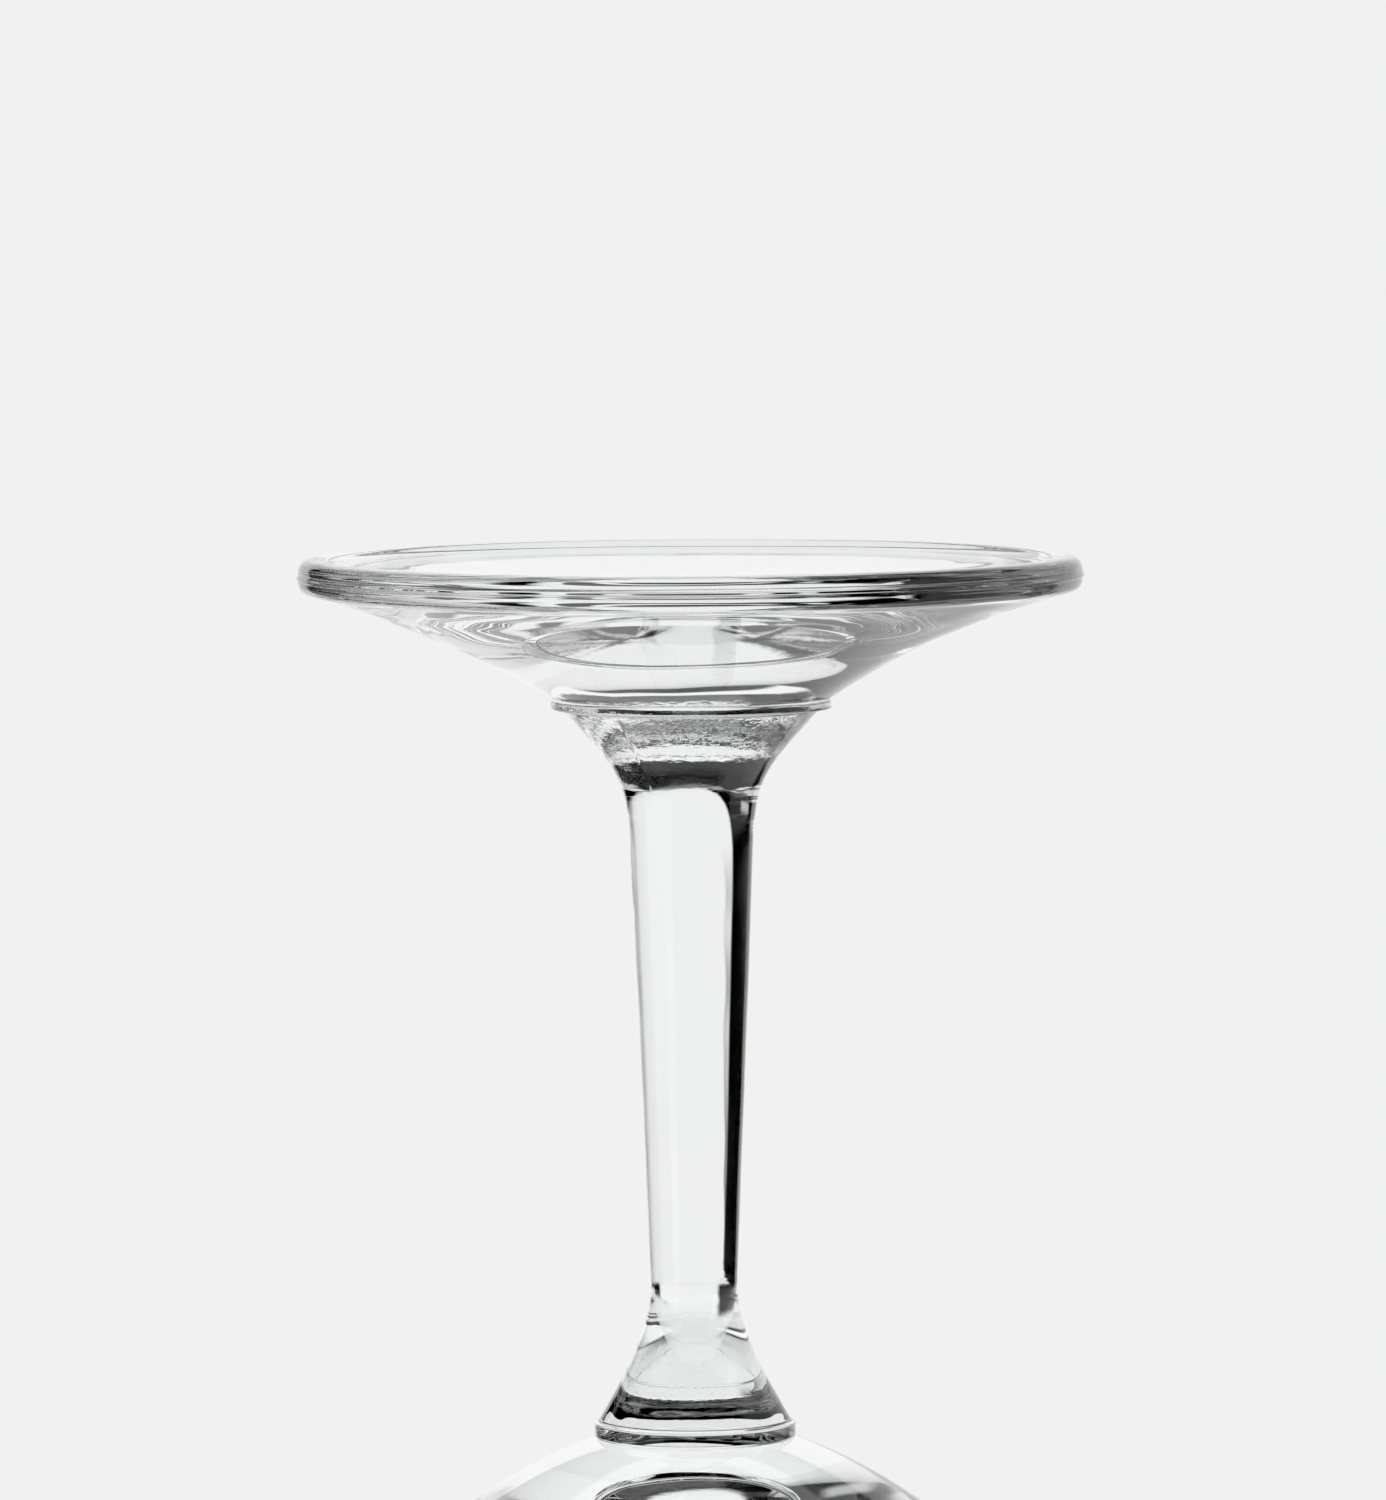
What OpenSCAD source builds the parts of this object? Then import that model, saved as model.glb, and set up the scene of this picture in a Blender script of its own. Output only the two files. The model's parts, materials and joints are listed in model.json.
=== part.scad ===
// Champagne saucer glass, standing upside down on its rim.
// Five pieces of clear glass are fused end to end on flat faces, from the table up:
// bowl, bowl collar, stem, foot collar and foot. Every piece is turned about the Z axis.
// The origin is the centre of the rim, on the table.

/* [Bowl] */
// Diameter of the bowl at its lip
bowl_d = 86; // [76:0.5:100]
// Height of the bowl, from its rim to its collar
bowl_h = 47; // [42:0.1:56]
// Height of the straight lip above the rim
lip_h = 5; // [2:0.1:12]
// Thickness of the wall
wall_t = 1; // [0.8:0.1:2]
// Thickness of the glass at the bowl's bottom, on its axis
bottom_t = 7.6; // [6:0.1:10]
// Radius of the fire-polished edges of the rim
rim_round = 0.3; // [0.1:0.05:0.35]
// Slope of the bowl where it leaves its collar, in degrees
bowl_slope = 18; // [14:1:22]

/* [Collar of the bowl] */
// Diameter of the joint between the stem and the bowl
bowl_joint_d = 17.2; // [14:0.1:20]
// How far the collar stands proud of that joint
bowl_collar_lip = 0.35; // [0.3:0.05:1.2]
// Thickness of the collar
bowl_collar_h = 1.4; // [0.8:0.1:3]

/* [Stem] */
// Length of the stem, from collar to collar
stem_l = 63.9; // [50:0.1:90]
// Diameter of the stem at its thin end, by the bowl
stem_thin_d = 7.7; // [6.5:0.1:9]
// Diameter of the stem at its thick end, by the foot
stem_thick_d = 10.9; // [9.5:0.1:13]
// Length of the flare that spreads to the bowl
shoulder_l = 12.9; // [9:0.1:18]
// Slope of that flare at its collar, in degrees
shoulder_slope = 60; // [50:1:70]
// Length of the flare that spreads to the foot
neck_l = 12.5; // [9:0.1:18]
// Slope of that flare at its collar, in degrees
neck_slope = 48; // [40:1:60]
// Step from the foot's joint in to the flare
neck_step = 0.8; // [0.4:0.05:1.2]

/* [Collar of the foot] */
// Diameter of the joint between the stem and the foot
foot_joint_d = 24.5; // [20:0.1:28]
// How far the collar stands proud of that joint
foot_collar_lip = 0.25; // [0.25:0.05:1]
// Thickness of the collar
foot_collar_h = 0.85; // [0.6:0.05:2]

/* [Foot] */
// Diameter of the foot at its widest
foot_d = 70; // [60:0.5:85]
// Height of the foot, from its collar to its standing ring
foot_h = 12.7; // [11:0.1:18]
// Height of the rounded edge
foot_edge_h = 3.5; // [3:0.05:5]
// Share of that edge that lies beyond its parting line, on the standing side
foot_edge_split = 0.46; // [0.4:0.01:0.6]
// How far the rounded edge reaches in under the foot's widest line
foot_edge_w = 2.4; // [1.8:0.1:4]
// How far the standing ring lies in from the foot's widest line
foot_ring_in = 1.6; // [1:0.1:3]
// Width of the flat standing ring
foot_ring_w = 0.9; // [0.6:0.1:3]
// Width of the bank that drops from the standing ring to the hollow
foot_step_w = 0.8; // [0.6:0.1:2]
// Height of that bank
foot_step_h = 0.8; // [0.5:0.1:1.4]
// Depth of the hollow at its middle, from the standing ring
foot_hollow = 2.4; // [1.6:0.1:5]
// Slope of the foot where it leaves its collar, in degrees
foot_slope = 35; // [28:1:45]
// Slope of the foot where it meets its edge, in degrees
foot_edge_slope = 18.5; // [10:0.5:22]

/* [Hidden] */
// Radius that rounds the edges of both collars
collar_round = 0.25;
// Shares of a curve's span that its two handles take, at its start and at its end
bowl_pull = [0.22, 0.4];
bottom_pull = [0.5, 0.27];
shoulder_pull = [0.6, 0.22];
neck_pull = [0.53, 0.47];
foot_pull = [0.31, 0.31];
edge_pull = [0.52, 0.55];
step_pull = [0.3, 0.3];
hollow_pull = [0.3, 0.4];
// Slope of the hollow where it meets the bank of the standing ring, in degrees
hollow_slope = 6;
// Share of the bowl's curve beyond which its wall is even
even_from = 0.75;
// Straight steps in a long curve, in a short curve and in a rounded edge
long_steps = 28;
short_steps = 10;
edge_steps = 6;
// Smoothness of the turned surfaces
$fn = 128;

bowl_r = bowl_d / 2;
foot_r = foot_d / 2;
bowl_joint_r = bowl_joint_d / 2;
foot_joint_r = foot_joint_d / 2;
neck_r = foot_joint_r - neck_step;
bowl_collar_r = bowl_joint_r + bowl_collar_lip;
foot_collar_r = foot_joint_r + foot_collar_lip;

// Heights of the joints above the table
bowl_collar_z = bowl_h;
stem_z = bowl_collar_z + bowl_collar_h;
foot_collar_z = stem_z + stem_l;
foot_z = foot_collar_z + foot_collar_h;

// Slope of the stem's taper, from the vertical
stem_taper = atan(
    (stem_thick_d - stem_thin_d) / 2 / (stem_l - shoulder_l - neck_l)
);

glass = [0.86, 0.89, 0.9, 0.45];

// A unit step in the direction a, in degrees from the radius
function heading(a) = [cos(a), sin(a)];

// Every point but the first, so that two runs can share an end
function tail(points) = [for (i = [1 : len(points) - 1]) points[i]];

// The same points from the far end
function reversed(points) = [for (i = [len(points) - 1 : -1 : 0]) points[i]];

function bezier_point(p, t) =
    pow(1 - t, 3) * p[0] + 3 * pow(1 - t, 2) * t * p[1]
    + 3 * (1 - t) * t * t * p[2] + pow(t, 3) * p[3];

function bezier_heading(p, t) =
    let (d = pow(1 - t, 2) * (p[1] - p[0]) + 2 * (1 - t) * t * (p[2] - p[1])
        + t * t * (p[3] - p[2]))
    d / norm(d);

function bezier(p, steps) = [for (i = [0 : steps]) bezier_point(p, i / steps)];

// Handles of a curve that leaves start along the angle a and reaches end along the angle b
function flare(start, a, end, b, pull) =
    let (span = norm(end - start))
    [start, start + pull[0] * span * heading(a), end - pull[1] * span * heading(b), end];

// A quarter round, from the angle a to the angle b about its centre
function arc(centre, radius, a, b) =
    [for (i = [0 : edge_steps]) centre + radius * heading(a + (b - a) * i / edge_steps)];

module turned(outline) {
    rotate_extrude() polygon(outline);
}

// Outside of the bowl, from its collar down to the top of the lip
bowl_curve = flare([bowl_joint_r, bowl_h], -bowl_slope, [bowl_r, lip_h], -90, bowl_pull);

// Inside of the even wall, at the share t of that curve
function wall_inside(t) =
    let (h = bezier_heading(bowl_curve, t))
    bezier_point(bowl_curve, t) + wall_t * [h[1], -h[0]];

module bowl() {
    wall_heading = bezier_heading(bowl_curve, even_from);
    wall = [for (i = [0 : short_steps]) wall_inside(1 - (1 - even_from) * i / short_steps)];
    bottom = flare(
        [0, bowl_h - bottom_t], 0,
        wall_inside(even_from), atan2(wall_heading[1], wall_heading[0]), bottom_pull
    );
    rim_in = bowl_r - wall_t + rim_round;
    rim_out = bowl_r - rim_round;
    color(glass)
    turned(concat(
        [[0, bowl_h]],
        bezier(bowl_curve, long_steps),
        arc([rim_out, rim_round], rim_round, 0, -90),
        arc([rim_in, rim_round], rim_round, -90, -180),
        wall,
        tail(reversed(bezier(bottom, long_steps)))
    ));
}

// A disc with rounded edges, resting on z
module collar(r, h, z) {
    color(glass)
    translate([0, 0, z])
    turned(concat(
        [[0, 0]],
        arc([r - collar_round, collar_round], collar_round, -90, 0),
        arc([r - collar_round, h - collar_round], collar_round, 0, 90),
        [[0, h]]
    ));
}

module bowl_collar() {
    collar(bowl_collar_r, bowl_collar_h, bowl_collar_z);
}

module foot_collar() {
    collar(foot_collar_r, foot_collar_h, foot_collar_z);
}

module stem() {
    shoulder = flare(
        [bowl_joint_r, 0], 180 - shoulder_slope,
        [stem_thin_d / 2, shoulder_l], 90 - stem_taper, shoulder_pull
    );
    neck = flare(
        [neck_r, stem_l], 180 + neck_slope,
        [stem_thick_d / 2, stem_l - neck_l], 270 - stem_taper, neck_pull
    );
    color(glass)
    translate([0, 0, stem_z])
    turned(concat(
        [[0, 0]],
        bezier(shoulder, long_steps),
        reversed(bezier(neck, long_steps)),
        [[0, stem_l]]
    ));
}

module foot() {
    edge_z = foot_h - foot_edge_h;
    widest = [foot_r, foot_h - foot_edge_h * foot_edge_split];
    ring_out = [foot_r - foot_ring_in, foot_h];
    ring_in = ring_out - [foot_ring_w, 0];
    edge_start = [foot_r - foot_edge_w, edge_z];
    step_end = ring_in - [foot_step_w, foot_step_h];
    flank = flare([foot_joint_r, 0], foot_slope, edge_start, foot_edge_slope, foot_pull);
    under_edge = flare(edge_start, foot_edge_slope, widest, 90, edge_pull);
    over_edge = flare(widest, 90, ring_out, 180, edge_pull);
    step = flare(ring_in, 180, step_end, 180 + hollow_slope, step_pull);
    hollow = flare(step_end, 180 + hollow_slope, [0, foot_h - foot_hollow], 180, hollow_pull);
    color(glass)
    translate([0, 0, foot_z])
    turned(concat(
        [[0, 0]],
        bezier(flank, long_steps),
        tail(bezier(under_edge, short_steps)),
        tail(bezier(over_edge, short_steps)),
        bezier(step, short_steps),
        tail(bezier(hollow, long_steps))
    ));
}

bowl();
bowl_collar();
stem();
foot_collar();
foot();
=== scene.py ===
"""An upturned champagne saucer: five pieces of clear glass, fused end to end, on a pale floor."""

import json
import math

import bmesh
import bpy
import numpy as np
from mathutils import Matrix, Vector, noise


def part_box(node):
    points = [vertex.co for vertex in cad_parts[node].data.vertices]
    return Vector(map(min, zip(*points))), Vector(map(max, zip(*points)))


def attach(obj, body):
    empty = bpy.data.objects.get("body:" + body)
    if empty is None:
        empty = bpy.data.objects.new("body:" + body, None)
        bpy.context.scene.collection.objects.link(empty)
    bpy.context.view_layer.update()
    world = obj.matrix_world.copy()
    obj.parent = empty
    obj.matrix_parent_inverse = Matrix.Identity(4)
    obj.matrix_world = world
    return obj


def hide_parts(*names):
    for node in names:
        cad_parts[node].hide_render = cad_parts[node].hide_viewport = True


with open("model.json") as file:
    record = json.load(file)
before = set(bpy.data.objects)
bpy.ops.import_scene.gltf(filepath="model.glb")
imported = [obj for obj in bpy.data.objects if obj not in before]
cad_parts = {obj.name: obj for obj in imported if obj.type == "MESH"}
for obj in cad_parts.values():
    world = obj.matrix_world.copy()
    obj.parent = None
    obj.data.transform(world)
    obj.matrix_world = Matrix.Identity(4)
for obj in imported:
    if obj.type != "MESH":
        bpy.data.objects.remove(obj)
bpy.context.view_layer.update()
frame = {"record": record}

# The material slot of each node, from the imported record
SLOTS = {part["node"]: part["material_slot"] for part in frame["record"]["subparts"]}

MM = 0.001

# Shapes of the turned outlines: slopes in degrees, lengths in millimetres, handles as shares of a span
BOWL_SLOPE = 18
BOWL_PULL = (0.22, 0.40)
BOWL_JOINT_R = 8.6
LIP_H = 5.0
WALL_T = 1.0
BOTTOM_T = 7.6
BOTTOM_PULL = (0.50, 0.27)
# Share of the bowl's curve beyond which its wall is even
EVEN_FROM = 0.75
RIM_ROUND = 0.3
COLLAR_ROUND = 0.25
SHOULDER_SLOPE = 60
SHOULDER_L = 12.9
SHOULDER_PULL = (0.60, 0.22)
NECK_SLOPE = 48
NECK_L = 12.5
NECK_PULL = (0.53, 0.47)
NECK_R = 11.45
STEM_THIN_R = 3.85
STEM_THICK_R = 5.45
FOOT_JOINT_R = 12.25
FOOT_EDGE_H = 3.5
# Share of the edge's height that lies above its parting line
FOOT_EDGE_SPLIT = 0.46
FOOT_EDGE_W = 2.4
FOOT_RING_IN = 1.6
FOOT_RING_W = 0.9
FOOT_STEP_W = 0.8
FOOT_STEP_H = 0.8
FOOT_HOLLOW = 2.4
FOOT_SLOPE = 35
FOOT_EDGE_SLOPE = 18.5
FOOT_PULL = (0.31, 0.31)
EDGE_PULL = (0.52, 0.55)
STEP_PULL = (0.30, 0.30)
HOLLOW_PULL = (0.30, 0.40)
HOLLOW_SLOPE = 6

# Directions in an outline, in degrees from the radius
OUT, UP, IN, DOWN = 0, 90, 180, 270

# Steps of the meshes around the axis, and along the stretches of the outlines
SIDES = 320
SEAM_STEPS = 1
FLAT_STEPS = 2
ROUND_STEPS = 8
LIP_STEPS = 8
WALL_STEPS = 40
BOWL_STEPS = 96
FLARE_STEPS = 72
ROD_STEPS = 64
FLANK_STEPS = 80
EDGE_STEPS = 40
RING_STEPS = 4
BANK_STEPS = 24
HOLLOW_STEPS = 64

# Materials of a piece: glass where it is open, and a seam where it is fused to the next piece
GLASS, SEAM = 0, 1

# Unevenness left by the mould, in millimetres: over what distance the surfaces wander, and how far
# they do in the bowl and stem, in the flank of the foot and in its hollow
WAVES = ((16.0, 0.10, 0.22, 0.04), (6.0, 0.035, 0.06, 0.01))
# Which of the noise's patterns the waves take, the same in each run
WAVE_SEED = 6
# How far below and above the stem's top the waves of the stem pass into those of the foot
FOOT_BLEND = 4.0
# Heights between which the waves along Z set in, so that the rim stays flat
RIM_BLEND = (1.0, 12.0)

# Fins where the halves of the mould met, around the foot's edge and up the stem's neck: height and
# half width, in millimetres
EDGE_FIN = (0.12, 0.16)
NECK_FIN = (0.06, 0.20)
# How far in from the foot's widest line its fin sets in, and where it is full
EDGE_FIN_IN = (1.0, 0.3)
# How far below the stem's top the neck's fin begins to run out
NECK_FIN_END = 1.0
# Bearing of the neck's fin about the axis, in degrees
NECK_FIN_AT = 234

# The least lift of a fin that moves a point, and the radius under which a point lies on the axis
LEAST_LIFT = 1e-4
ON_AXIS = 1e-6


def node_span(node):
    """The node's lowest and highest height and its largest radius, in millimetres."""
    low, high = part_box(node)
    return low.z / MM, high.z / MM, (high.y - low.y) / 2 / MM


STEM_FOOT, STEM_TOP, _ = node_span("stem")
_, FOOT_TOP, FOOT_R = node_span("foot")

# Clear glass, and the two tints between which it drifts over a size in millimetres
GLASS_IOR = 1.52
TINT_DEEP = (0.980, 0.988, 0.986, 1)
TINT_PALE = (0.990, 0.993, 0.992, 1)
TINT_SIZE = 20.0
TINT_DETAIL = 1
# Wear on the standing ring: height of the worn zone and size of the marks in millimetres, levels of the
# noise at which a mark sets in and is full, and its roughness
WEAR_H = 0.6
WEAR_SIZE = 0.4
WEAR_DETAIL = 3
WEAR_LEVELS = (0.55, 0.8)
WEAR_ROUGH = 0.12
# Fine marks where the glass chilled first, around the stem's ends, in millimetres: lowest and highest
# point, width of a mark, its height as a share of that width, and its depth
NECK_CHILL = (STEM_TOP - 6.5, STEM_TOP + 1.6, 1.1, 0.5, 0.030)
JOINT_CHILL = (STEM_FOOT + 1.2, STEM_FOOT + 3.6, 0.8, 0.6, 0.012)
SHOULDER_CHILL = (STEM_FOOT + SHOULDER_L - 3, STEM_FOOT + SHOULDER_L + 1, 0.9, 0.8, 0.015)
CHILL = (NECK_CHILL, JOINT_CHILL, SHOULDER_CHILL)
CHILL_SOFT = 0.6
CHILL_DETAIL = 3

# The floor, in metres
FLOOR_WHITE = 0.88
FLOOR_SPAN = 0.5
FLOOR_SIDES = 128
# Where the floor fades out: around a point close behind the glass, and around one on the right
NEAR_CENTRE = (0, 0.03, 0)
NEAR_FADE = (0.07, 0.11)
FAR_CENTRE = (0.12, 0.05, 0)
FAR_FADE = (0.08, 0.14)

WHITE = (1, 1, 1, 1)
# The backdrop that the camera sees past the glass
PALE = 0.879
# The room around the glass: bearings from straight behind it, rises above the horizon, brightness,
# softness of the edges and how far they lean with the rise, with all angles in degrees
ROOM_DARK = 0.0
TABLE_BELOW = ((-190, 190), (-100, -45), 0.05, 4, 0)
TABLE_STRIP = ((-24, 30), (-60, -14), 0.9, 4, 0)
TABLE_BEHIND = ((-25, 42), (-18, -4), 0.95, 3, 0)
TABLE_RIGHT = ((58, 105), (-60, -10.5), 0.6, 2, 0)
NEAR_PANEL = ((-142, -87), (-33, 14), 0.7, 3, 0)
NEAR_PANEL_TOP = ((-150, -92), (21, 28), 1.0, 2, 0)
BACKDROP_FOOT = ((-14, 60), (-6, 3), 0.95, 1.5, 5)
BACKDROP_RIGHT = ((20, 110), (-6, 5), 0.9, 1.5, 0)
BACKDROP = ((-30.5, 128), (-2.5, 31), 0.95, 1.5, 0.7)
BACKDROP_DARK = ((-10, 60), (32, 45), 0.1, 2, 0)
HIGH_PANEL = ((-40, 60), (46, 54), 0.95, 1.5, 0)
LEFT_PANEL = ((-42, -29), (28, 36), 0.9, 1.5, 0)
LEFT_PANEL_FOOT = ((-55, -40.5), (9, 17), 0.55, 2.5, 0)
RIGHT_PANEL = ((58, 116), (-2, 40), 0.6, 3, 0)
# Each panel covers those before it
PANELS = (
    TABLE_BELOW, TABLE_STRIP, TABLE_BEHIND, TABLE_RIGHT, NEAR_PANEL, NEAR_PANEL_TOP, BACKDROP_FOOT,
    BACKDROP_RIGHT, BACKDROP, BACKDROP_DARK, HIGH_PANEL, LEFT_PANEL, LEFT_PANEL_FOOT, RIGHT_PANEL,
)
# The room on the viewer's side: bearings on both sides, rises, brightness and softness
REAR_PANEL = ((104, 190), (-40, 60), 0.9, 6)
# A ray's count of bounces lies above this from the first bounce on
FIRST_BOUNCE = 0.5

# The camera: its lens from the photograph's height and the focal length in its pixels, its place in
# metres and its angles in degrees
IMAGE_H = 1500
FOCAL_PX = 11190
SENSOR_MM = 36
CAMERA_DISTANCE = 0.996
CAMERA_ASIDE = 0.00015
CAMERA_ABOVE_FOOT = 0.050
CAMERA_PITCH = 3.862
CAMERA_ROLL = -0.33
CAMERA_REACH = 50

# How often light may bounce on its way through the glass, and off its faces
CLEAR_BOUNCES = 32
GLOSSY_BOUNCES = 16


def heading(degrees):
    a = math.radians(degrees)
    return np.array([math.cos(a), math.sin(a)])


def flare(start, a, end, b, pull):
    """Handles of a curve that leaves start along the angle a and reaches end along the angle b."""
    start, end = np.array(start, float), np.array(end, float)
    span = np.linalg.norm(end - start)
    return start, start + pull[0] * span * heading(a), end - pull[1] * span * heading(b), end


def bezier(handles, steps, start=0, end=1):
    """Points of a curve, between two values of its parameter."""
    t = np.linspace(start, end, steps + 1)[:, None]
    p0, p1, p2, p3 = handles
    return (1 - t) ** 3 * p0 + 3 * (1 - t) ** 2 * t * p1 + 3 * (1 - t) * t * t * p2 + t ** 3 * p3


def bezier_headings(handles, steps, start=0, end=1):
    """Directions of a curve at the points that bezier gives."""
    t = np.linspace(start, end, steps + 1)[:, None]
    p0, p1, p2, p3 = handles
    d = (1 - t) ** 2 * (p1 - p0) + 2 * (1 - t) * t * (p2 - p1) + t * t * (p3 - p2)
    return d / np.linalg.norm(d, axis=1, keepdims=True)


def line(start, end, steps):
    return np.linspace(start, end, steps + 1)


def arc(centre, radius, a, b):
    """A rounded edge, from the angle a to the angle b about its centre."""
    angles = np.radians(np.linspace(a, b, ROUND_STEPS + 1))
    return np.array(centre) + radius * np.stack([np.cos(angles), np.sin(angles)], axis=1)


def bowl_outline():
    _, top, radius = node_span("bowl")
    outside = flare((BOWL_JOINT_R, top), OUT - BOWL_SLOPE, (radius, LIP_H), DOWN, BOWL_PULL)
    along = bezier_headings(outside, WALL_STEPS, 1, EVEN_FROM)
    inward = np.stack([along[:, 1], -along[:, 0]], axis=1)
    wall = bezier(outside, WALL_STEPS, 1, EVEN_FROM) + WALL_T * inward
    wall_slope = math.degrees(math.atan2(along[-1, 1], along[-1, 0]))
    bottom = flare((0, top - BOTTOM_T), OUT, wall[-1], wall_slope, BOTTOM_PULL)
    inside_r = radius - WALL_T
    rim_in = inside_r + RIM_ROUND
    rim_out = radius - RIM_ROUND
    return [
        (line((0, top), (BOWL_JOINT_R, top), SEAM_STEPS), SEAM),
        (bezier(outside, BOWL_STEPS), GLASS),
        (line((radius, LIP_H), (radius, RIM_ROUND), LIP_STEPS), GLASS),
        (arc((rim_out, RIM_ROUND), RIM_ROUND, 0, -90), GLASS),
        (line((rim_out, 0), (rim_in, 0), FLAT_STEPS), GLASS),
        (arc((rim_in, RIM_ROUND), RIM_ROUND, -90, -180), GLASS),
        (line((inside_r, RIM_ROUND), (inside_r, LIP_H), LIP_STEPS), GLASS),
        (wall, GLASS),
        (bezier(bottom, BOWL_STEPS)[::-1], GLASS),
    ]


def collar_outline(node, low_seam_r, high_seam_r):
    low, high, radius = node_span(node)
    flat_r = radius - COLLAR_ROUND
    return [
        (line((0, low), (low_seam_r, low), SEAM_STEPS), SEAM),
        (line((low_seam_r, low), (flat_r, low), FLAT_STEPS), GLASS),
        (arc((flat_r, low + COLLAR_ROUND), COLLAR_ROUND, -90, 0), GLASS),
        (line((radius, low + COLLAR_ROUND), (radius, high - COLLAR_ROUND), FLAT_STEPS), GLASS),
        (arc((flat_r, high - COLLAR_ROUND), COLLAR_ROUND, 0, 90), GLASS),
        (line((flat_r, high), (high_seam_r, high), FLAT_STEPS), GLASS),
        (line((high_seam_r, high), (0, high), SEAM_STEPS), SEAM),
    ]


def stem_outline():
    low, high, _ = node_span("stem")
    rise = high - low - SHOULDER_L - NECK_L
    taper = math.degrees(math.atan((STEM_THICK_R - STEM_THIN_R) / rise))
    thin = (STEM_THIN_R, low + SHOULDER_L)
    thick = (STEM_THICK_R, high - NECK_L)
    shoulder = flare((BOWL_JOINT_R, low), IN - SHOULDER_SLOPE, thin, UP - taper, SHOULDER_PULL)
    neck = flare((NECK_R, high), IN + NECK_SLOPE, thick, DOWN - taper, NECK_PULL)
    return [
        (line((0, low), (BOWL_JOINT_R, low), SEAM_STEPS), SEAM),
        (bezier(shoulder, FLARE_STEPS), GLASS),
        (line(thin, thick, ROD_STEPS), GLASS),
        (bezier(neck, FLARE_STEPS)[::-1], GLASS),
        (line((NECK_R, high), (0, high), SEAM_STEPS), SEAM),
    ]


def foot_outline():
    low, high, radius = node_span("foot")
    edge_start = (radius - FOOT_EDGE_W, high - FOOT_EDGE_H)
    widest = (radius, high - FOOT_EDGE_H * FOOT_EDGE_SPLIT)
    ring_out = (radius - FOOT_RING_IN, high)
    ring_in = (ring_out[0] - FOOT_RING_W, high)
    bank_end = (ring_in[0] - FOOT_STEP_W, high - FOOT_STEP_H)
    flank = flare((FOOT_JOINT_R, low), FOOT_SLOPE, edge_start, FOOT_EDGE_SLOPE, FOOT_PULL)
    under_edge = flare(edge_start, FOOT_EDGE_SLOPE, widest, UP, EDGE_PULL)
    over_edge = flare(widest, UP, ring_out, IN, EDGE_PULL)
    bank = flare(ring_in, IN, bank_end, IN + HOLLOW_SLOPE, STEP_PULL)
    hollow = flare(bank_end, IN + HOLLOW_SLOPE, (0, high - FOOT_HOLLOW), IN, HOLLOW_PULL)
    return [
        (line((0, low), (FOOT_JOINT_R, low), SEAM_STEPS), SEAM),
        (bezier(flank, FLANK_STEPS), GLASS),
        (bezier(under_edge, EDGE_STEPS), GLASS),
        (bezier(over_edge, EDGE_STEPS), GLASS),
        (line(ring_out, ring_in, RING_STEPS), GLASS),
        (bezier(bank, BANK_STEPS), GLASS),
        (bezier(hollow, HOLLOW_STEPS), GLASS),
    ]


def fade(value, low, high):
    """Zero below low, one above high, and a soft passage between."""
    share = min(max((value - low) / (high - low), 0), 1)
    return share * share * (3 - 2 * share)


def fin(distance, size):
    """Height of a fin at a distance from its crest."""
    height, half_width = size
    return height * math.exp(-(distance / half_width) ** 2)


def edge_lift(point):
    """How far the fin around the foot's edge lifts a point off the axis."""
    sets_in, full = EDGE_FIN_IN
    crest = FOOT_TOP - FOOT_EDGE_H * FOOT_EDGE_SPLIT
    radius = math.hypot(point.x, point.y)
    return fin(point.z - crest, EDGE_FIN) * fade(radius, FOOT_R - sets_in, FOOT_R - full)


def neck_lift(point):
    """How far the fin up the stem's neck lifts a point off the axis."""
    across = Matrix.Rotation(math.radians(-NECK_FIN_AT), 2) @ point.xy
    if across.x <= STEM_THIN_R / 2:
        return 0
    above_rod = fade(point.z, STEM_TOP - NECK_L, STEM_TOP - NECK_L / 2)
    run_out = fade(point.z, STEM_TOP - NECK_FIN_END, STEM_TOP)
    return fin(across.y, NECK_FIN) * above_rod * (1 - run_out)


def wander(point):
    """Where a point of the perfect shape lies on the uneven glass. Both in millimetres."""
    moved = point.copy()
    in_foot = fade(point.z, STEM_TOP - FOOT_BLEND, STEM_TOP + FOOT_BLEND)
    in_hollow = fade(point.z, FOOT_TOP - FOOT_EDGE_H, FOOT_TOP - FOOT_HOLLOW)
    for size, depth, flank_depth, hollow_depth in WAVES:
        reach = depth + (flank_depth - depth) * in_foot + (hollow_depth - flank_depth) * in_hollow
        moved += reach * noise.noise_vector(point / size)
    moved.z = point.z + (moved.z - point.z) * fade(point.z, *RIM_BLEND)
    lift = edge_lift(point) + neck_lift(point)
    if lift > LEAST_LIFT:
        moved += lift * Vector((point.x, point.y, 0)).normalized()
    return moved


def ring(bm, r, z):
    """The vertices that a point of an outline makes around the axis, one and the same on the axis."""
    if r < ON_AXIS:
        return [bm.verts.new(wander(Vector((0, 0, z))) * MM)] * SIDES
    angles = np.linspace(0, 2 * math.pi, SIDES, endpoint=False)
    circle = [Vector((r * math.cos(a), r * math.sin(a), z)) for a in angles]
    return [bm.verts.new(wander(point) * MM) for point in circle]


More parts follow.
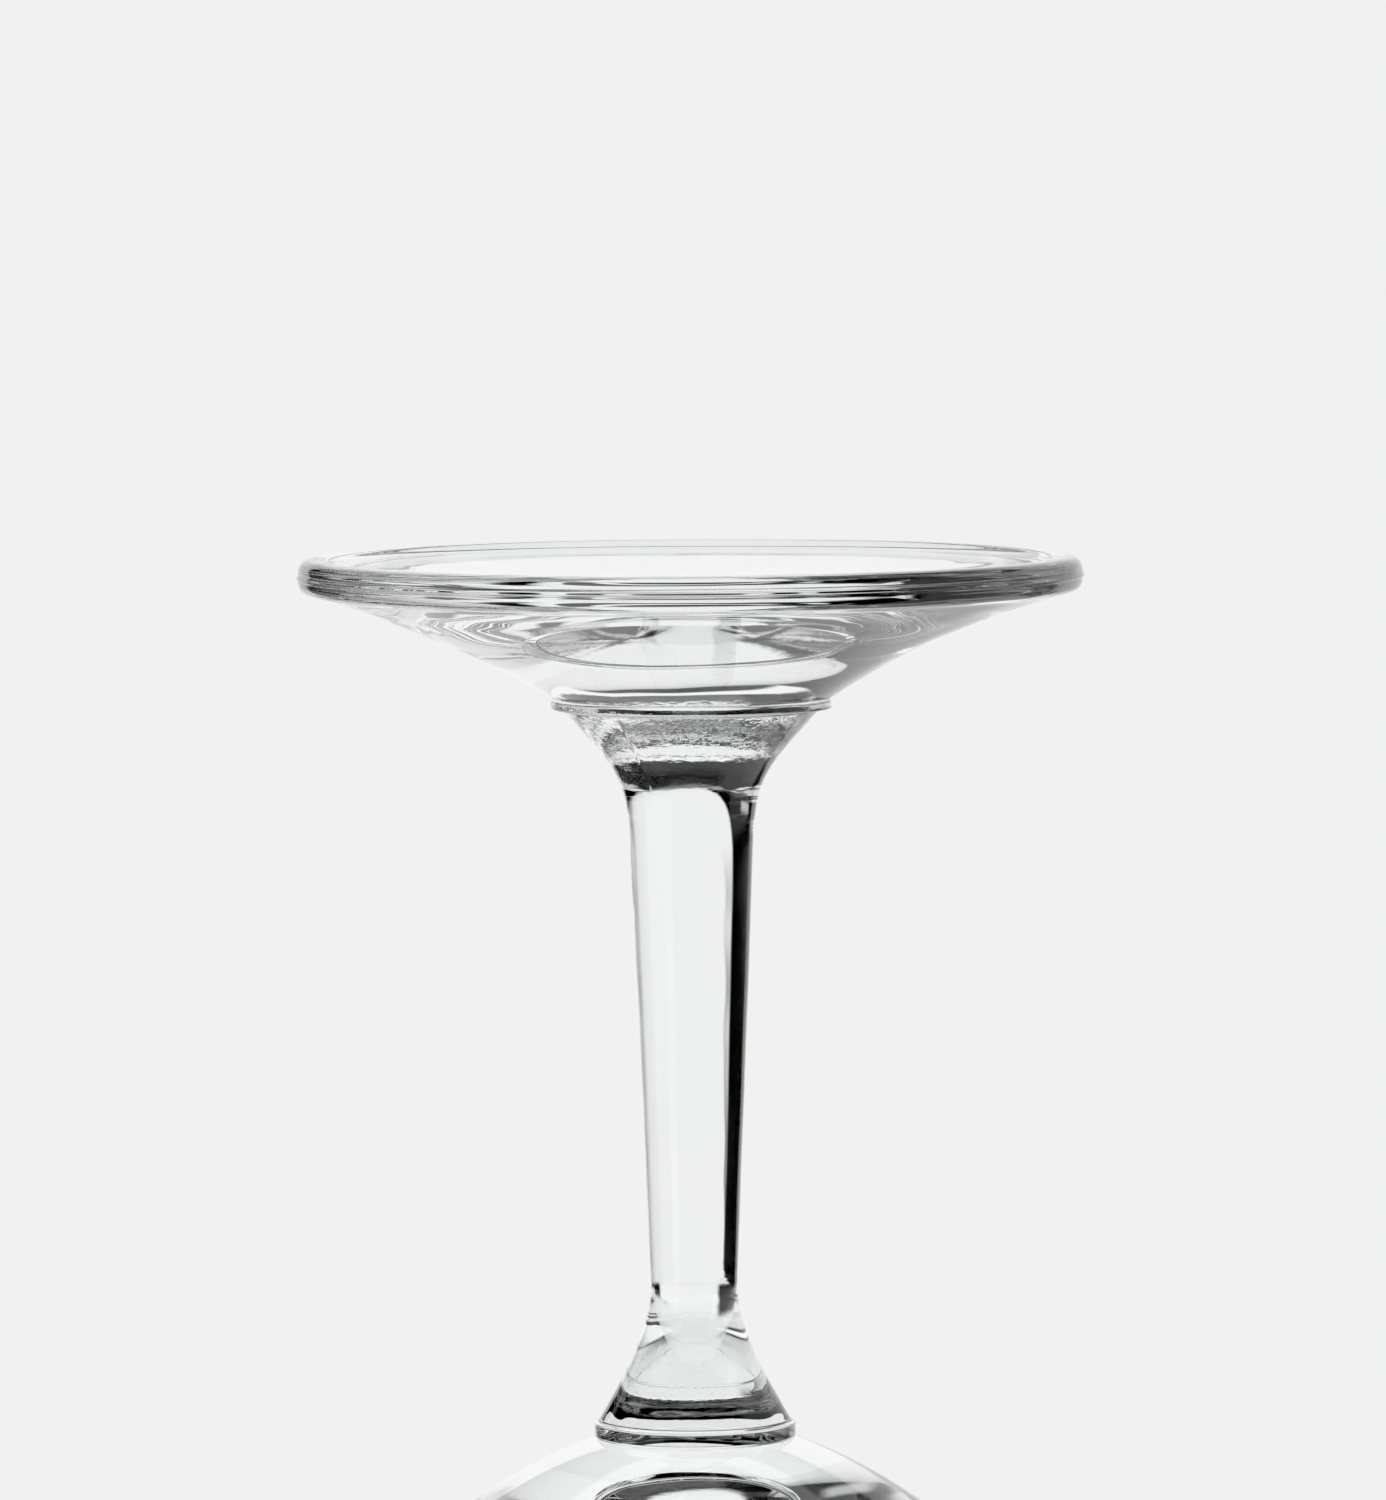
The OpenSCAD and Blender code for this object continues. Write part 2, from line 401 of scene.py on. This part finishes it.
def turned(name, runs):
    """A closed piece, turned from the runs of its outline. Each run is of glass or a seam."""
    points, kinds = [runs[0][0][0]], []
    for run, kind in runs:
        points.extend(run[1:])
        kinds.extend([kind] * (len(run) - 1))
    mesh = bpy.data.meshes.new(name)
    bm = bmesh.new()
    rings = [ring(bm, r, z) for r, z in points]
    for low, high, kind in zip(rings, rings[1:], kinds):
        for i in range(SIDES):
            j = (i + 1) % SIDES
            corners = list(dict.fromkeys((low[i], low[j], high[j], high[i])))
            face = bm.faces.new(corners)
            face.material_index = kind
            face.smooth = kind == GLASS
    bmesh.ops.recalc_face_normals(bm, faces=bm.faces)
    bm.to_mesh(mesh)
    bm.free()
    piece = bpy.data.objects.new(name, mesh)
    bpy.context.collection.objects.link(piece)
    return piece


def ramp(tree, value, low, high, start, end):
    """start where value is below low, end where it is above high, and a soft passage between."""
    passage = tree.nodes.new("ShaderNodeMapRange")
    passage.interpolation_type = "SMOOTHSTEP"
    for name, number in zip(("From Min", "From Max", "To Min", "To Max"), (low, high, start, end)):
        passage.inputs[name].default_value = number
    tree.links.new(value, passage.inputs["Value"])
    return passage.outputs["Result"]


def calculate(tree, operation, first, second=0.0):
    """A math node on two sockets or numbers."""
    node = tree.nodes.new("ShaderNodeMath")
    node.operation = operation
    for value, socket in zip((first, second), node.inputs):
        if isinstance(value, bpy.types.NodeSocket):
            tree.links.new(value, socket)
        else:
            socket.default_value = value
    return node.outputs["Value"]


def between(tree, value, low, high, soft):
    """One where the value lies between low and high, and zero beyond them."""
    after = ramp(tree, value, low - soft, low + soft, 0, 1)
    before = ramp(tree, value, high - soft, high + soft, 1, 0)
    return calculate(tree, "MULTIPLY", after, before)


def split_axes(tree, vector):
    """The X, Y and Z of a vector."""
    split = tree.nodes.new("ShaderNodeSeparateXYZ")
    tree.links.new(vector, split.inputs["Vector"])
    return split.outputs["X"], split.outputs["Y"], split.outputs["Z"]


def speckle(tree, where, size, detail, share=1):
    """Noise over the glass, of marks with a width in millimetres and a height that is a share of it."""
    scaled = tree.nodes.new("ShaderNodeMapping")
    scaled.inputs["Scale"].default_value = (1, 1, 1 / share)
    tree.links.new(where, scaled.inputs["Vector"])
    texture = tree.nodes.new("ShaderNodeTexNoise")
    texture.inputs["Scale"].default_value = 1 / (size * MM)
    texture.inputs["Detail"].default_value = detail
    tree.links.new(scaled.outputs["Vector"], texture.inputs["Vector"])
    return texture.outputs["Fac"]


def bump(tree, height, depth, normal=None):
    """Normals of a surface raised by height times a depth in millimetres."""
    raised = tree.nodes.new("ShaderNodeBump")
    raised.inputs["Strength"].default_value = 1.0
    raised.inputs["Distance"].default_value = depth * MM
    tree.links.new(height, raised.inputs["Height"])
    if normal:
        tree.links.new(normal, raised.inputs["Normal"])
    return raised.outputs["Normal"]


def mix_shaders(tree, factor, first, second):
    mix = tree.nodes.new("ShaderNodeMixShader")
    tree.links.new(factor, mix.inputs["Fac"])
    tree.links.new(first, mix.inputs[1])
    tree.links.new(second, mix.inputs[2])
    return mix.outputs["Shader"]


def tint_color(tree, where):
    """The faint tint of the glass, which drifts over it."""
    tint = tree.nodes.new("ShaderNodeValToRGB")
    tint.color_ramp.elements[0].color = TINT_DEEP
    tint.color_ramp.elements[1].color = TINT_PALE
    tree.links.new(speckle(tree, where, TINT_SIZE, TINT_DETAIL), tint.inputs["Fac"])
    return tint.outputs["Color"]


def wear_roughness(tree, where, height):
    """Small rough marks on the standing ring, and polished glass elsewhere."""
    worn = ramp(tree, speckle(tree, where, WEAR_SIZE, WEAR_DETAIL), *WEAR_LEVELS, 0, WEAR_ROUGH)
    on_ring = ramp(tree, height, (FOOT_TOP - WEAR_H) * MM, FOOT_TOP * MM, 0, 1)
    return calculate(tree, "MULTIPLY", worn, on_ring)


def chill_normal(tree, where, height):
    """Normals of the glass with its chill marks."""
    normal = None
    for low, high, size, share, depth in CHILL:
        marks = speckle(tree, where, size, CHILL_DETAIL, share)
        zone = between(tree, height, low * MM, high * MM, CHILL_SOFT * MM)
        normal = bump(tree, calculate(tree, "MULTIPLY", marks, zone), depth, normal)
    return normal


def glass_material(name):
    material = bpy.data.materials.new(name)
    material.use_nodes = True
    tree = material.node_tree
    shader = tree.nodes["Principled BSDF"]
    shader.inputs["IOR"].default_value = GLASS_IOR
    shader.inputs["Transmission Weight"].default_value = 1.0
    where = tree.nodes.new("ShaderNodeTexCoord").outputs["Object"]
    _, _, height = split_axes(tree, where)
    tree.links.new(tint_color(tree, where), shader.inputs["Base Color"])
    tree.links.new(wear_roughness(tree, where, height), shader.inputs["Roughness"])
    tree.links.new(chill_normal(tree, where, height), shader.inputs["Normal"])
    return material


def seam_material():
    """Where two pieces are fused the glass runs on, so the face between them shows nothing."""
    material = bpy.data.materials.new("fused_seam")
    material.use_nodes = True
    tree = material.node_tree
    tree.nodes.clear()
    output = tree.nodes.new("ShaderNodeOutputMaterial")
    clear = tree.nodes.new("ShaderNodeBsdfTransparent")
    tree.links.new(clear.outputs["BSDF"], output.inputs["Surface"])
    return material


def build_pieces():
    glasses = {slot: glass_material(slot) for slot in dict.fromkeys(SLOTS.values())}
    fused_seam = seam_material()
    outlines = {
        "bowl": bowl_outline(),
        "bowl_collar": collar_outline("bowl_collar", BOWL_JOINT_R, BOWL_JOINT_R),
        "stem": stem_outline(),
        "foot_collar": collar_outline("foot_collar", NECK_R, FOOT_JOINT_R),
        "foot": foot_outline(),
    }
    for node, outline in outlines.items():
        piece = turned(node + "_glass", outline)
        slot = SLOTS[node]
        piece.data.materials.append(glasses[slot])
        piece.data.materials.append(fused_seam)
        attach(piece, "root")
        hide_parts(node)


def rear_level(tree, bearing, rise):
    """The viewer's side of the room: pale straight through the glass, and dark in its reflections."""
    bearings, rises, brightness, soft = REAR_PANEL
    path = tree.nodes.new("ShaderNodeLightPath")
    straight = calculate(tree, "LESS_THAN", path.outputs["Glossy Depth"], FIRST_BOUNCE)
    across = between(tree, calculate(tree, "ABSOLUTE", bearing), *bearings, soft)
    panel = calculate(tree, "MULTIPLY", across, between(tree, rise, *rises, soft))
    return calculate(tree, "MULTIPLY", calculate(tree, "MULTIPLY", panel, straight), brightness)


def room_level(tree):
    """How bright the room is that the glass shows: white panels with dark gaps between them."""
    where = tree.nodes.new("ShaderNodeTexCoord").outputs["Generated"]
    x, y, z = split_axes(tree, where)
    bearing = calculate(tree, "MULTIPLY", calculate(tree, "ARCTAN2", x, y), math.degrees(1))
    rise = calculate(tree, "MULTIPLY", calculate(tree, "ARCSINE", z), math.degrees(1))
    level = ROOM_DARK
    for bearings, rises, brightness, soft, lean in PANELS:
        upright = calculate(tree, "SUBTRACT", bearing, calculate(tree, "MULTIPLY", rise, lean))
        across = between(tree, upright, *bearings, soft)
        panel = calculate(tree, "MULTIPLY", across, between(tree, rise, *rises, soft))
        rest = calculate(tree, "MULTIPLY", calculate(tree, "SUBTRACT", 1.0, panel), level)
        level = calculate(tree, "ADD", calculate(tree, "MULTIPLY", panel, brightness), rest)
    return calculate(tree, "MAXIMUM", level, rear_level(tree, bearing, rise))


def background(tree, color):
    shader = tree.nodes.new("ShaderNodeBackground")
    shader.inputs["Color"].default_value = color
    return shader


def make_world():
    """The room for the glass, soft white light for the floor, and a pale backdrop for the camera."""
    world = bpy.data.worlds.new("studio")
    bpy.context.scene.world = world
    world.use_nodes = True
    tree = world.node_tree
    tree.nodes.clear()
    output = tree.nodes.new("ShaderNodeOutputWorld")
    path = tree.nodes.new("ShaderNodeLightPath")
    room = background(tree, WHITE)
    tree.links.new(room_level(tree), room.inputs["Strength"])
    soft_light = background(tree, WHITE)
    backdrop = background(tree, (PALE, PALE, PALE, 1))
    on_floor = calculate(tree, "GREATER_THAN", path.outputs["Diffuse Depth"], FIRST_BOUNCE)
    shown = mix_shaders(tree, on_floor, room.outputs[0], soft_light.outputs[0])
    shown = mix_shaders(tree, path.outputs["Is Camera Ray"], shown, backdrop.outputs[0])
    tree.links.new(shown, output.inputs["Surface"])


def distance_from(tree, centre):
    """How far a point of the floor lies from the centre."""
    where = tree.nodes.new("ShaderNodeTexCoord")
    length = tree.nodes.new("ShaderNodeVectorMath")
    length.operation = "DISTANCE"
    length.inputs[1].default_value = centre
    tree.links.new(where.outputs["Object"], length.inputs[0])
    return length.outputs["Value"]


def floor_material():
    """Pale and dull around the glass, and clear farther out."""
    material = bpy.data.materials.new("pale_floor")
    material.use_nodes = True
    tree = material.node_tree
    tree.nodes.clear()
    output = tree.nodes.new("ShaderNodeOutputMaterial")
    diffuse = tree.nodes.new("ShaderNodeBsdfDiffuse")
    diffuse.inputs["Color"].default_value = (FLOOR_WHITE, FLOOR_WHITE, FLOOR_WHITE, 1)
    clear = tree.nodes.new("ShaderNodeBsdfTransparent")
    near = ramp(tree, distance_from(tree, NEAR_CENTRE), *NEAR_FADE, 0, 1)
    far = ramp(tree, distance_from(tree, FAR_CENTRE), *FAR_FADE, 0, 1)
    gone = calculate(tree, "MINIMUM", near, far)
    shown = mix_shaders(tree, gone, diffuse.outputs[0], clear.outputs[0])
    tree.links.new(shown, output.inputs["Surface"])
    return material


def make_floor():
    """A pale sheet that fades into the backdrop, so that no horizon shows."""
    bpy.ops.mesh.primitive_circle_add(vertices=FLOOR_SIDES, radius=FLOOR_SPAN, fill_type="TRIFAN")
    floor = bpy.context.object
    floor.name = "floor"
    floor.data.materials.append(floor_material())


def make_camera():
    """The photograph's view. The sensor spans the longer side of the picture, its height."""
    data = bpy.data.cameras.new("camera")
    data.sensor_width = SENSOR_MM
    data.lens = FOCAL_PX * SENSOR_MM / IMAGE_H
    data.clip_end = CAMERA_REACH
    camera = bpy.data.objects.new("camera", data)
    bpy.context.collection.objects.link(camera)
    camera.location = (CAMERA_ASIDE, -CAMERA_DISTANCE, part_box("foot")[1].z + CAMERA_ABOVE_FOOT)
    tilt = Matrix.Rotation(math.radians(90 - CAMERA_PITCH), 4, "X")
    roll = Matrix.Rotation(math.radians(CAMERA_ROLL), 4, "Z")
    camera.rotation_euler = (tilt @ roll).to_euler()
    return camera


noise.seed_set(WAVE_SEED)
build_pieces()
make_world()
make_floor()

scene = bpy.context.scene
scene.camera = make_camera()
scene.view_settings.view_transform = "Standard"
scene.cycles.max_bounces = CLEAR_BOUNCES
scene.cycles.transmission_bounces = CLEAR_BOUNCES
scene.cycles.transparent_max_bounces = CLEAR_BOUNCES
scene.cycles.glossy_bounces = GLOSSY_BOUNCES
scene.cycles.blur_glossy = 0
